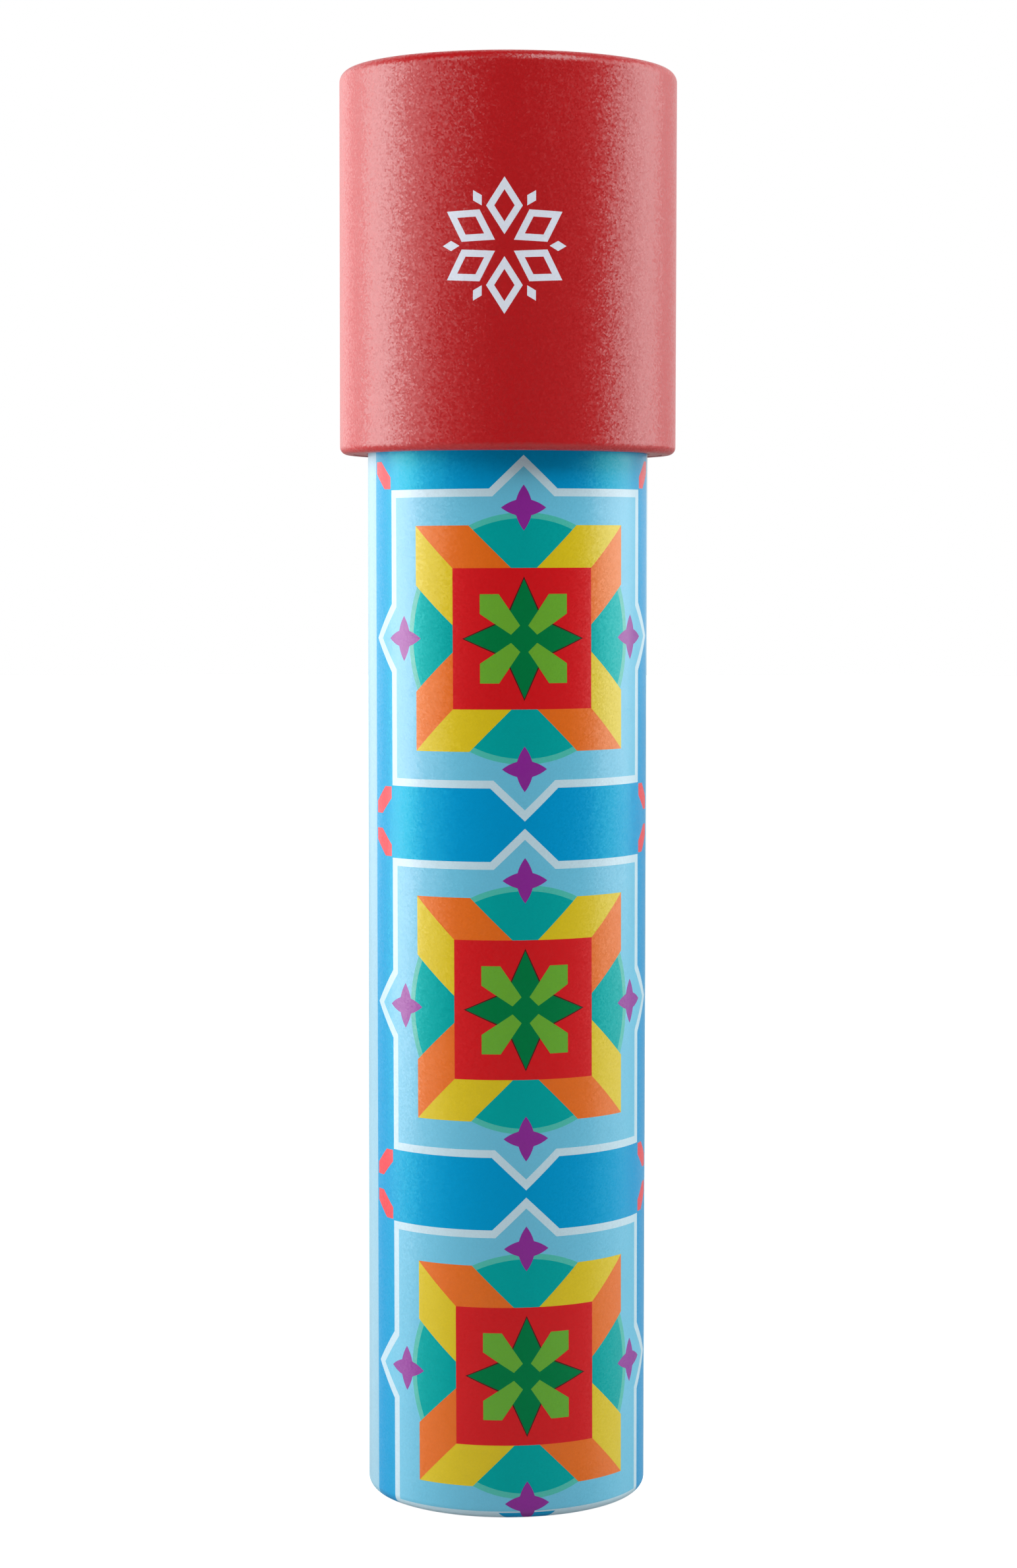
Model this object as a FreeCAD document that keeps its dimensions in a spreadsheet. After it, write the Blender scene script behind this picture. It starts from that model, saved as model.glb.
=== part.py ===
import FreeCAD, Part
import math
import os
import Sketcher

# A toy kaleidoscope standing on its eyepiece end, +Z up, in millimetres.
# The origin is the middle of the flat foot under the tube.
#
# Below: a straight tube with a printed sleeve, the eyepiece in its foot, and three mirror
# strips in a card wrap on its axis. Above: a wider cap that turns about the tube and carries
# the object chamber, a clear box of loose charms under a frosted end window.

# ---------------------------------------------------------------- sizes

SIZES = [
    # tube and sleeve
    ("tube_radius", 21.6, "outside of the printed sleeve"),
    ("sleeve_film", 0.25, "thickness of the printed sleeve"),
    ("tube_wall", 1.5, "wall of the tube"),
    ("tube_length", 197.5, "length of the tube"),
    ("tube_round", 1.7, "rounding of the sleeve at the foot"),
    ("foot_inset", 2.0, "from the sleeve's outside to the foot ring's"),
    ("foot_step", 0.1, "height of the sleeve's lower edge above the foot"),
    ("foot_opening", 17.6, "radius of the opening in the foot"),
    ("foot_thickness", 2.0, "thickness of the turned-in foot"),
    ("press_gap", 0.05, "gap around a part that is pressed or glued in"),
    # eyepiece
    ("plug_setback", 0.4, "from the foot up to the eyepiece's outer face"),
    ("plug_height", 7.6, "eyepiece plug"),
    ("dish_radius", 16.0, "rim of the eye dish"),
    ("dish_depth", 2.0, "depth of the eye dish"),
    ("peephole_radius", 5.0, "hole to look through"),
    ("pupil_flat", 1.0, "flat around the peephole"),
    ("peephole_wall", 3.2, "from the plug's outer face to the eye window"),
    ("eye_window_radius", 9.0, "window behind the peephole"),
    ("eye_window_thickness", 1.2, "window behind the peephole"),
    ("clip_opening", 6.5, "hole in the ring that holds the eye window"),
    ("clip_thickness", 2.0, "ring that holds the eye window"),
    # mirrors and their wrap
    ("mirror_width", 27.0, "side of the triangle between the mirrors"),
    ("mirror_overlap", 1.0, "how far each strip runs past its neighbour"),
    ("mirror_thickness", 1.2, "mirror strip"),
    ("mirror_length", 189.0, "mirror strip"),
    ("wrap_gap", 0.1, "between mirror strips and card"),
    ("card_thickness", 0.5, "card wrap"),
    ("card_corner", 0.8, "inner corner of the card wrap"),
    ("tape_thickness", 0.15, "tape band"),
    ("tape_width", 14.0, "tape band"),
    ("tape_first", 32.0, "height of the lowest band above the mirrors' foot"),
    ("tape_pitch", 56.0, "from band to band"),
    ("holder_height", 4.0, "disc that centres the mirrors"),
    ("lower_holder_base", 12.0, "height of the lower disc"),
    ("upper_holder_base", 188.0, "height of the upper disc"),
    # upper end of the tube
    ("tube_window_thickness", 1.0, "window that closes the tube"),
    ("collar_base", 189.5, "lower edge of the collar"),
    ("collar_radius", 23.2, "outside of the collar"),
    ("flange_radius", 23.5, "flange that keeps the cap on"),
    ("flange_height", 2.0, "flange that keeps the cap on"),
    ("collar_plate", 1.0, "plate over the tube's end"),
    ("collar_opening", 18.5, "hole in that plate"),
    ("washer_inner", 19.0, "felt washer"),
    ("washer_outer", 23.0, "felt washer"),
    ("washer_thickness", 1.15, "felt washer"),
    # turning cap
    ("total_height", 219.8, "foot to the cap's upper rim"),
    ("cap_radius", 25.92, "outside of the cap"),
    ("cap_base", 161.35, "lower edge of the cap"),
    ("cap_wall", 2.0, "wall of the cap"),
    ("cap_lip", 1.8, "lip over the end window"),
    ("cap_opening", 21.8, "hole in that lip"),
    ("cap_top_round", 1.7, "upper outer edge"),
    ("cap_foot_round", 1.2, "lower outer edge"),
    ("lip_round", 0.6, "edge of the hole in the lip"),
    ("turning_gap", 0.1, "radial clearance between cap and tube"),
    ("axial_gap", 0.3, "between the liner's end and the collar's flange"),
    ("liner_chamfer", 0.5, "lower edge of the liner's bore"),
    ("seat_gap", 0.02, "around the parts glued into the cap"),
    # object chamber
    ("retainer_base", 200.8, "ring under the chamber"),
    ("retainer_height", 2.0, "ring under the chamber"),
    ("retainer_opening", 20.5, "hole in that ring"),
    ("floor_thickness", 1.2, "clear window under the charms"),
    ("chamber_height", 12.6, "free height of the chamber"),
    ("chamber_wall", 1.6, "clear ring round the chamber"),
    ("diffuser_thickness", 1.4, "frosted end window"),
    # charms
    ("charm_gap", 0.2, "under each charm"),
    ("middle_ring", 11.0, "distance of the middle charms from the axis"),
    ("outer_ring", 18.4, "distance of the outer charms from the axis"),
    ("bead_radius", 1.8, "round bead"),
    ("star_reach", 3.2, "six-pointed star"),
    ("star_thickness", 2.0, "six-pointed star"),
    ("chip_reach", 3.0, "three-cornered chip"),
    ("chip_thickness", 1.8, "three-cornered chip"),
    ("rod_radius", 1.1, "short rod"),
    ("rod_length", 5.6, "short rod"),
    ("nut_reach", 2.6, "six-sided gem"),
    ("nut_thickness", 2.2, "six-sided gem"),
    ("petal_radius", 1.2, "petal of a flower"),
    ("petal_ring", 1.75, "petals' distance from the flower's middle"),
    ("flower_thickness", 1.8, "flower"),
]

TRIANGLE_TURN = 120      # degrees from one side of the mirror triangle to the next
TAPE_BANDS = 3
PETALS = 5

doc = FreeCAD.newDocument("Kaleidoscope")
sheet = doc.addObject("Spreadsheet::Sheet", "Sizes")
for row, (name, value, meaning) in enumerate(SIZES, start=1):
    sheet.set(f"A{row}", name)
    sheet.set(f"B{row}", str(value))
    sheet.set(f"C{row}", meaning)
    sheet.setAlias(f"B{row}", name)
doc.recompute()


class Size:
    """A length that carries its number and the sheet expression that it comes from."""

    def __init__(self, value, text):
        self.value = value
        self.text = text

    def __add__(self, other):
        other = as_size(other)
        return Size(self.value + other.value, f"({self.text} + {other.text})")

    def __sub__(self, other):
        other = as_size(other)
        return Size(self.value - other.value, f"({self.text} - {other.text})")

    def __mul__(self, factor):
        return Size(self.value * factor, f"({self.text} * {factor:.9f})")

    def __neg__(self):
        return self * -1.0


def as_size(thing):
    """A plain number as a Size; a Size stays as it is."""
    if isinstance(thing, Size):
        return thing
    return Size(float(thing), repr(float(thing)))


def read(name):
    """The sheet's cell of that name as a Size."""
    return Size(float(sheet.get(name)), f"Sizes.{name}")


class Named:
    """All the sheet's cells as attributes."""


s = Named()
for name, value, meaning in SIZES:
    setattr(s, name, read(name))

ZERO = as_size(0)

# Places that several pieces share.
tube_outer = s.tube_radius - s.sleeve_film
tube_inner = tube_outer - s.tube_wall
mirror_inradius = s.mirror_width * (1 / (2 * math.sqrt(3)))
mirror_base = s.plug_setback + s.plug_height
wrap_inner = mirror_inradius + s.mirror_thickness + s.wrap_gap
wrap_outer = wrap_inner + s.card_thickness
tape_outer = wrap_outer + s.tape_thickness
wrap_corner = s.card_corner + s.card_thickness
tape_corner = wrap_corner + s.tape_thickness
collar_bore = tube_outer + s.press_gap
collar_top = s.tube_length + s.tube_window_thickness
cap_inner = s.cap_radius - s.cap_wall
seat_radius = cap_inner - s.seat_gap
liner_top = s.collar_base - s.axial_gap
liner_bore = s.tube_radius + s.turning_gap
floor_base = s.retainer_base + s.retainer_height
chamber_base = floor_base + s.floor_thickness
diffuser_base = chamber_base + s.chamber_height
charm_base = chamber_base + s.charm_gap

# ---------------------------------------------------------------- ways of making a piece

pieces = []              # every object that is written out, in the order it is made


def keep(piece):
    pieces.append(piece)
    return piece


def new_body(label, base=ZERO, turn=0):
    """An empty body whose own foot stands at height base, turned about the axis."""
    body = doc.addObject("PartDesign::Body", label)
    body.Label = label
    body.Placement = FreeCAD.Placement(
        FreeCAD.Vector(0, 0, base.value), FreeCAD.Rotation(FreeCAD.Vector(0, 0, 1), turn)
    )
    if base.value:
        body.setExpression("Placement.Base.z", base.text)
    return body


def new_sketch(body, role, name):
    """A sketch on one of the body's origin planes."""
    plane = next(o for o in body.Origin.OriginFeatures if o.Role == role)
    sketch = body.newObject("Sketcher::SketchObject", name)
    sketch.AttachmentSupport = [(plane, "")]
    sketch.MapMode = "FlatFace"
    return sketch


def pin_point(sketch, line, x, y):
    """Ties a line's first point to x and y, both measured from the sketch's origin."""
    for kind, axis, size in (("DistanceX", -2, x), ("DistanceY", -1, y)):
        if size.value == 0:
            sketch.addConstraint(Sketcher.Constraint("PointOnObject", line, 1, axis))
            continue
        rule = sketch.addConstraint(Sketcher.Constraint(kind, -1, 1, line, 1, size.value))
        sketch.setExpression(f"Constraints[{rule}]", size.text)


def add_polygon(sketch, corners):
    """A closed outline through corners, each an (x, y) pair of Sizes."""
    points = [FreeCAD.Vector(x.value, y.value, 0) for x, y in corners]
    first = sketch.GeometryCount
    count = len(points)
    for i in range(count):
        sketch.addGeometry(Part.LineSegment(points[i], points[(i + 1) % count]), False)
    for i in range(count):
        follower = first + (i + 1) % count
        sketch.addConstraint(Sketcher.Constraint("Coincident", first + i, 2, follower, 1))
    for i, (x, y) in enumerate(corners):
        pin_point(sketch, first + i, x, y)


def add_circle(sketch, radius):
    """A circle round the sketch's origin."""
    circle = Part.Circle(FreeCAD.Vector(0, 0, 0), FreeCAD.Vector(0, 0, 1), radius.value)
    index = sketch.addGeometry(circle, False)
    sketch.addConstraint(Sketcher.Constraint("Coincident", index, 3, -1, 1))
    rule = sketch.addConstraint(Sketcher.Constraint("Radius", index, radius.value))
    sketch.setExpression(f"Constraints[{rule}]", radius.text)


def soften(body, feature, edges, size, kind="Fillet"):
    """Rounds or chamfers some edges of a feature."""
    edge_count = len(edges)
    if edge_count == 0:
        raise RuntimeError(f"{body.Label}: no edge to soften")
    dress = body.newObject(f"PartDesign::{kind}", f"{body.Label}_{kind}{len(body.Group)}")
    dress.Base = (feature, edges)
    prop = "Radius" if kind == "Fillet" else "Size"
    setattr(dress, prop, size.value)
    dress.setExpression(prop, size.text)
    doc.recompute()
    return dress


def ring_edges(feature, radius, height):
    """Names of the round edges of that radius at that height."""
    names = []
    for i, edge in enumerate(feature.Shape.Edges, start=1):
        curve = edge.Curve
        if not isinstance(curve, Part.Circle):
            continue
        near_radius = abs(curve.Radius - radius.value) < 1e-4
        near_height = abs(curve.Center.z - height.value) < 1e-4
        if near_radius and near_height:
            names.append(f"Edge{i}")
    return names


def upright_edges(feature, low, high):
    """Names of the straight upright edges between two distances from the axis."""
    names = []
    for i, edge in enumerate(feature.Shape.Edges, start=1):
        box = edge.BoundBox
        upright = box.XLength < 1e-4 and box.YLength < 1e-4 and box.ZLength > 1e-3
        distance = math.hypot(box.XMin, box.YMin)
        if upright and low.value < distance < high.value:
            names.append(f"Edge{i}")
    return names


def turned(label, base, outline, rounds=(), chamfers=()):
    """A piece turned about the axis: outline is (radius, height above base) pairs.

    rounds and chamfers are (radius, height above base, size) of the edges to soften.
    """
    body = new_body(label, base)
    sketch = new_sketch(body, "XZ_Plane", f"{label}_outline")
    add_polygon(sketch, outline)
    turn = body.newObject("PartDesign::Revolution", f"{label}_turn")
    turn.Profile = sketch
    turn.ReferenceAxis = (sketch, ["V_Axis"])
    turn.Angle = 360
    doc.recompute()
    tip = turn
    for kind, edges in (("Fillet", rounds), ("Chamfer", chamfers)):
        for radius, height, size in edges:
            names = ring_edges(tip, radius, height)
            tip = soften(body, tip, names, size, kind)
    return keep(body)


def washer_outline(inner, outer, height):
    """A plain ring's outline, or a disc's where inner is ZERO."""
    return [(inner, ZERO), (outer, ZERO), (outer, height), (inner, height)]


def triangle(inradius):
    """The corners of the mirror triangle, grown or shrunk to that inradius."""
    reach = inradius * 2.0
    corners = []
    for k in range(3):
        angle = math.radians(-90 + TRIANGLE_TURN * k - TRIANGLE_TURN / 2)
        corners.append((reach * math.cos(angle), reach * math.sin(angle)))
    return corners


def triangular_tube(label, base, height, inner, outer, inner_corner, outer_corner):
    """A three-sided tube with rounded corners; the body is left open for a pattern."""
    body = new_body(label, base)
    sketch = new_sketch(body, "XY_Plane", f"{label}_section")
    add_polygon(sketch, triangle(outer))
    add_polygon(sketch, triangle(inner))
    pad = body.newObject("PartDesign::Pad", f"{label}_pad")
    pad.Profile = sketch
    pad.Length = height.value
    pad.setExpression("Length", height.text)
    doc.recompute()
    between = inner + outer
    outside = upright_edges(pad, between, outer * 2.1)
    dress = soften(body, pad, outside, outer_corner)
    inside = upright_edges(dress, inner, between)
    dress = soften(body, dress, inside, inner_corner)
    return body, dress


# ---------------------------------------------------------------- tube and eyepiece

def make_body_tube():
    """The tube, turned in at its foot, with a step that the sleeve's edge sits in."""
    step = s.foot_step + s.sleeve_film
    foot_ring = s.tube_radius - s.foot_inset
    outline = [
        (s.foot_opening, ZERO),
        (foot_ring, ZERO),
        (foot_ring, step),
        (tube_outer, step),
        (tube_outer, s.tube_length),
        (tube_inner, s.tube_length),
        (tube_inner, s.foot_thickness),
        (s.foot_opening, s.foot_thickness),
    ]
    inner_round = s.tube_round - s.sleeve_film
    turned("body_tube", ZERO, outline, rounds=[(tube_outer, step, inner_round)])


def make_printed_sleeve():
    """The printed film round the tube, which follows it round the foot's edge."""
    foot_ring = s.tube_radius - s.foot_inset
    height = liner_top - s.foot_step
    outline = [
        (foot_ring, ZERO),
        (s.tube_radius, ZERO),
        (s.tube_radius, height),
        (tube_outer, height),
        (tube_outer, s.sleeve_film),
        (foot_ring, s.sleeve_film),
    ]
    inner_round = s.tube_round - s.sleeve_film
    rounds = [(s.tube_radius, ZERO, s.tube_round), (tube_outer, s.sleeve_film, inner_round)]
    turned("printed_sleeve", s.foot_step, outline, rounds=rounds)


def make_eyepiece():
    """The dished plug, its small window and the ring that holds the window."""
    neck = s.foot_opening - s.press_gap
    shoulder = s.foot_thickness - s.plug_setback
    bore = s.eye_window_radius + s.press_gap
    pupil = s.peephole_radius + s.pupil_flat
    outline = [
        (s.peephole_radius, s.dish_depth),
        (pupil, s.dish_depth),
        (s.dish_radius, ZERO),
        (neck, ZERO),
        (neck, shoulder),
        (tube_inner - s.press_gap, shoulder),
        (tube_inner - s.press_gap, s.plug_height),
        (bore, s.plug_height),
        (bore, s.peephole_wall),
        (s.peephole_radius, s.peephole_wall),
    ]
    turned("eyepiece_plug", s.plug_setback, outline)
    window_base = s.plug_setback + s.peephole_wall
    window = washer_outline(ZERO, s.eye_window_radius, s.eye_window_thickness)
    turned("eyepiece_window", window_base, window)
    clip = washer_outline(s.clip_opening, bore, s.clip_thickness)
    turned("window_clip_ring", window_base + s.eye_window_thickness, clip)


# ---------------------------------------------------------------- mirrors

def make_mirrors():
    """Three equal strips round a three-sided light path, each running past the next one."""
    left = -(s.mirror_width * 0.5)
    right = s.mirror_width * 0.5 + s.mirror_overlap
    face = -mirror_inradius
    back = -(mirror_inradius + s.mirror_thickness)
    for k in range(3):
        label = f"mirror_strip_{k + 1}"
        body = new_body(label, mirror_base, TRIANGLE_TURN * k)
        sketch = new_sketch(body, "XY_Plane", f"{label}_section")
        add_polygon(sketch, [(left, back), (right, back), (right, face), (left, face)])
        pad = body.newObject("PartDesign::Pad", f"{label}_pad")
        pad.Profile = sketch
        pad.Length = s.mirror_length.value
        pad.setExpression("Length", s.mirror_length.text)
        keep(body)


def make_wrap():
    """The card round the mirrors and the bands of tape that close it."""
    body, _ = triangular_tube(
        "mirror_card_wrap", mirror_base, s.mirror_length,
        wrap_inner, wrap_outer, s.card_corner, wrap_corner,
    )
    keep(body)
    body, band = triangular_tube(
        "prism_tape_bands", mirror_base + s.tape_first, s.tape_width,
        wrap_outer, tape_outer, wrap_corner, tape_corner,
    )
    body.AllowCompound = True
    row = body.newObject("PartDesign::LinearPattern", "prism_tape_row")
    row.Originals = [band]
    row.Direction = (next(o for o in body.Origin.OriginFeatures if o.Role == "Z_Axis"), [""])
    row.Occurrences = TAPE_BANDS
    row.Length = s.tape_pitch.value * (TAPE_BANDS - 1)
    row.setExpression("Length", (s.tape_pitch * (TAPE_BANDS - 1)).text)
    row.TransformMode = "Whole shape"
    body.Tip = row
    keep(body)


def make_holder(label, base):
    """A disc with a three-sided hole that centres the wrapped mirrors in the tube."""
    body = new_body(label, base)
    sketch = new_sketch(body, "XY_Plane", f"{label}_section")
    add_circle(sketch, tube_inner - s.press_gap)
    add_polygon(sketch, triangle(wrap_outer + s.press_gap))
    pad = body.newObject("PartDesign::Pad", f"{label}_pad")
    pad.Profile = sketch
    pad.Length = s.holder_height.value
    pad.setExpression("Length", s.holder_height.text)
    doc.recompute()
    corners = upright_edges(pad, wrap_inner, wrap_outer * 2.05)
    soften(body, pad, corners, wrap_corner)
    keep(body)


# ---------------------------------------------------------------- upper end of the tube

def make_tube_end():
    """The window that closes the tube, the flanged collar over it and the felt washer."""
    window = washer_outline(ZERO, tube_outer, s.tube_window_thickness)
    turned("tube_window", s.tube_length, window)
    plate_under = collar_top - s.collar_base
    plate_over = plate_under + s.collar_plate
    collar = [
        (collar_bore, ZERO),
        (s.flange_radius, ZERO),
        (s.flange_radius, s.flange_height),
        (s.collar_radius, s.flange_height),
        (s.collar_radius, plate_over),
        (s.collar_opening, plate_over),
        (s.collar_opening, plate_under),
        (collar_bore, plate_under),
    ]
    turned("tube_collar", s.collar_base, collar)
    washer = washer_outline(s.washer_inner, s.washer_outer, s.washer_thickness)
    turned("felt_washer", collar_top + s.collar_plate, washer)


# ---------------------------------------------------------------- turning cap

def make_cap():
    """The cap, and the liner inside it that runs on the tube under the collar's flange."""
    height = s.total_height - s.cap_base
    lip_under = height - s.cap_lip
    outline = [
        (cap_inner, ZERO),
        (s.cap_radius, ZERO),
        (s.cap_radius, height),
        (s.cap_opening, height),
        (s.cap_opening, lip_under),
        (cap_inner, lip_under),
    ]
    rounds = [
        (s.cap_radius, height, s.cap_top_round),
        (s.cap_radius, ZERO, s.cap_foot_round),
        (s.cap_opening, height, s.lip_round),
    ]
    turned("cap_shell", s.cap_base, outline, rounds=rounds)
    liner = washer_outline(liner_bore, cap_inner, liner_top - s.cap_base)
    turned("cap_liner", s.cap_base, liner, chamfers=[(liner_bore, ZERO, s.liner_chamfer)])


def make_chamber():
    """The object chamber: retaining ring, clear floor, clear wall and frosted window."""
    ring = washer_outline(s.retainer_opening, cap_inner, s.retainer_height)
    turned("chamber_retaining_ring", s.retainer_base, ring)
    floor = washer_outline(ZERO, seat_radius, s.floor_thickness)
    turned("chamber_window", floor_base, floor)
    wall = washer_outline(seat_radius - s.chamber_wall, seat_radius, s.chamber_height)
    turned("chamber_wall", chamber_base, wall)
    diffuser = washer_outline(ZERO, seat_radius, s.diffuser_thickness)
    turned("diffuser_window", diffuser_base, diffuser)


# ---------------------------------------------------------------- charms

def part_object(kind, label, **sizes):
    """A Part primitive whose named properties are bound to Sizes."""
    piece = doc.addObject(kind, label)
    for name, size in sizes.items():
        setattr(piece, name, size.value)
        piece.setExpression(name, size.text)
    return piece


def bead(label):
    ball = part_object("Part::Sphere", label, Radius=s.bead_radius)
    return ball, s.bead_radius, FreeCAD.Rotation()


def rod(label):
    stick = part_object("Part::Cylinder", label, Radius=s.rod_radius, Height=s.rod_length)
    lie_down = FreeCAD.Rotation(FreeCAD.Vector(0, 1, 0), 90)
    return stick, s.rod_radius, lie_down


def chip(label):
    flake = part_object(
        "Part::Prism", label, Circumradius=s.chip_reach, Height=s.chip_thickness
    )
    flake.Polygon = 3
    return flake, ZERO, FreeCAD.Rotation()


def gem(label):
    nut = part_object("Part::Prism", label, Circumradius=s.nut_reach, Height=s.nut_thickness)
    nut.Polygon = 6
    return nut, ZERO, FreeCAD.Rotation()


def star(label):
    """Two triangles laid across each other."""
    halves = []
    for k in range(2):
        half = part_object(
            "Part::Prism", f"{label}_half{k + 1}",
            Circumradius=s.star_reach, Height=s.star_thickness,
        )
        half.Polygon = 3
        half.Placement.Rotation = FreeCAD.Rotation(FreeCAD.Vector(0, 0, 1), 60 * k)
        halves.append(half)
    whole = doc.addObject("Part::Fuse", label)
    whole.Base, whole.Tool = halves
    whole.Refine = True
    return whole, ZERO, FreeCAD.Rotation()


def flower(label):
    """Round petals about a round middle."""
    middle = part_object(
        "Part::Cylinder", f"{label}_middle",
        Radius=s.petal_ring, Height=s.flower_thickness,
    )
    members = [middle]
    for k in range(PETALS):
        angle = 2 * math.pi * k / PETALS
        petal = part_object(
            "Part::Cylinder", f"{label}_petal{k + 1}",
            Radius=s.petal_radius, Height=s.flower_thickness,
        )
        petal.setExpression("Placement.Base.x", (s.petal_ring * math.cos(angle)).text)
        petal.setExpression("Placement.Base.y", (s.petal_ring * math.sin(angle)).text)
        members.append(petal)
    whole = doc.addObject("Part::MultiFuse", label)
    whole.Shapes = members
    whole.Refine = True
    return whole, ZERO, FreeCAD.Rotation()


def scatter(label, make, ring, places):
    """A group of equal charms on the chamber's floor.

    places are (angle about the axis, the charm's own turn) pairs, in degrees.
    """
    members = []
    for k, (angle, spin) in enumerate(places, start=1):
        charm, lift, lie = make(f"{label}_{k}")
        bearing = math.radians(angle)
        about_z = FreeCAD.Rotation(FreeCAD.Vector(0, 0, 1), spin)
        place = FreeCAD.Placement(FreeCAD.Vector(0, 0, 0), about_z.multiply(lie))
        # A lying rod is centred on its place along its own length.
        if charm.TypeId == "Part::Cylinder":
            middle = place.multVec(FreeCAD.Vector(0, 0, s.rod_length.value / 2))
            place.Base = -middle
        corner = place.Base
        charm.Placement = place
        x = ring * math.cos(bearing) + corner.x
        y = ring * math.sin(bearing) + corner.y
        z = charm_base + lift
        for axis, size in (("x", x), ("y", y), ("z", z)):
            charm.setExpression(f"Placement.Base.{axis}", size.text)
        members.append(charm)
    group = doc.addObject("Part::Compound", label)
    group.Label = label
    group.Links = members
    keep(group)


def make_charms():
    """Loose charms in three rings that never meet; angles are uneven, as charms fall."""
    inner = s.middle_ring * 0.33
    scatter("inner_star", star, inner, [(205, 12)])
    scatter("inner_bead", bead, inner, [(35, 0)])
    scatter("middle_flowers", flower, s.middle_ring, [(20, 8), (196, 40)])
    scatter("middle_chips", chip, s.middle_ring, [(72, 25), (251, 100)])
    scatter("middle_rods", rod, s.middle_ring, [(131, 60), (312, 15)])
    scatter("outer_stars", star, s.outer_ring, [(8, 20), (118, 5), (238, 33)])
    scatter("outer_beads", bead, s.outer_ring, [(38, 0), (150, 0), (270, 0)])
    scatter("outer_gems", gem, s.outer_ring, [(66, 10), (178, 28), (330, 0)])
    scatter("outer_rods", rod, s.outer_ring, [(93, 35), (208, 80), (300, 140)])


# ---------------------------------------------------------------- the whole

make_body_tube()
make_printed_sleeve()
make_eyepiece()
make_mirrors()
make_wrap()
make_holder("lower_prism_holder", s.lower_holder_base)
make_holder("upper_prism_holder", s.upper_holder_base)
make_tube_end()
make_cap()
make_chamber()
make_charms()
doc.recompute()

for thing in doc.Objects:
    if "Invalid" in thing.State or "Error" in thing.State:
        raise RuntimeError(f"{thing.Label} failed: {thing.State}")
for piece in pieces:
    shape = piece.Shape
    if shape.isNull() or not shape.isValid() or not shape.Solids:
        raise RuntimeError(f"{piece.Label} has no sound solid")

os.makedirs("parts", exist_ok=True)
for piece in pieces:
    piece.Shape.exportStep(f"parts/{piece.Label}.step")
    box = piece.Shape.BoundBox
    print(
        f"{piece.Label:24s} {len(piece.Shape.Solids)} solid(s)"
        f"  z {box.ZMin:7.2f} to {box.ZMax:7.2f}  volume {piece.Shape.Volume:9.1f}"
    )
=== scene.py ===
import cmath
import math

import bmesh
import bpy
import numpy as np
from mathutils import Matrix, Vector, noise
from mathutils.geometry import delaunay_2d_cdt


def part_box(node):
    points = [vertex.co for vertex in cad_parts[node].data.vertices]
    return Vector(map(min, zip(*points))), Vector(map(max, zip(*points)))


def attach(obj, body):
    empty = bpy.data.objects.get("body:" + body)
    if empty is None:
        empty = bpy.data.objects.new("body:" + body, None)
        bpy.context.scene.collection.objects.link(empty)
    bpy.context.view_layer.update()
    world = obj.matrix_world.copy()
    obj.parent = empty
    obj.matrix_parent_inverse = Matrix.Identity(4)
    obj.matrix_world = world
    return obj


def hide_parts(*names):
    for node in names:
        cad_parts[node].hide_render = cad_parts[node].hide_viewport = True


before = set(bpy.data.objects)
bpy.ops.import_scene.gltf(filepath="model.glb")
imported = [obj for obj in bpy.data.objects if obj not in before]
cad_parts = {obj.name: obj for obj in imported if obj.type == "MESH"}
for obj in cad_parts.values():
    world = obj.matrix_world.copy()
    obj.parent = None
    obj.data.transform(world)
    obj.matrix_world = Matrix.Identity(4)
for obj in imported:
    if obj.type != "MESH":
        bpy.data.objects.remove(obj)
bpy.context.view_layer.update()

MM = 0.001               # one millimetre in metres; sizes below are in millimetres
TURN = 2 * math.pi       # a full turn, in radians

# ---------------------------------------------------------------- sizes from the frame


def span(node):
    """A round node's outer radius, foot and top, in millimetres, to the nearest micron."""
    low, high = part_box(node)
    return round(high.x / MM, 3), round(low.z / MM, 3), round(high.z / MM, 3)


TUBE_RADIUS, SLEEVE_FOOT, SLEEVE_TOP = span("printed_sleeve")
WALL_RADIUS, TUBE_FOOT, TUBE_TOP = span("body_tube")
CAP_RADIUS, CAP_FOOT, CAP_TOP = span("cap_shell")
LINER_RADIUS, LINER_FOOT, LINER_TOP = span("cap_liner")
PLUG_RADIUS, PLUG_FOOT, PLUG_TOP = span("eyepiece_plug")
EYE_RADIUS, EYE_FOOT, _ = span("eyepiece_window")

# Sizes that the frame's boxes don't give.
FILM = TUBE_RADIUS - WALL_RADIUS
TUBE_WALL = 1.5
TUBE_INNER = WALL_RADIUS - TUBE_WALL
FOOT_ROUND = 1.7         # rounding of the sleeve's lower edge
FOOT_TURN_IN = 2.0       # how far the film is turned in under the foot
FOOT_RING = TUBE_RADIUS - FOOT_TURN_IN
FOOT_OPENING = 17.6      # radius of the opening in the tube's foot
FOOT_THICKNESS = 2.0
CAP_LIP = 1.8            # thickness of the cap's lip over the end window
CAP_OPENING = 21.8       # radius of the opening in it
CAP_TOP_ROUND = 1.7
CAP_FOOT_ROUND = 1.2
CAP_LIP_ROUND = 0.6
RUNNING_GAP = 0.1        # between the film and the liner that turns on it
LINER_BORE = TUBE_RADIUS + RUNNING_GAP
LINER_INSET = 0.1        # how much higher the liner's foot is than in the frame
PEEPHOLE = 5.0           # its radius
DISH_DEPTH = 2.0         # the dished eyepiece, from its rim up to its floor
DISH_FLOOR = 6.2         # outer radius of that floor
DISH_RIM = 16.0          # inner radius of the flat rim
PLUG_FIT = 0.05          # gap round the plug's neck and round the window in it
PANE_EDGE = 0.15         # rounding of the round windows' edges
CHAMBER_WALL = 1.6       # thickness of the object chamber's clear wall
CHAMBER_EDGE = 0.1       # rounding of its edges
FELT_WIDTH = 4.0
FELT_RINGS = 8           # steps across the felt washer
FELT_SEGMENTS = 360      # steps round it
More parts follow.
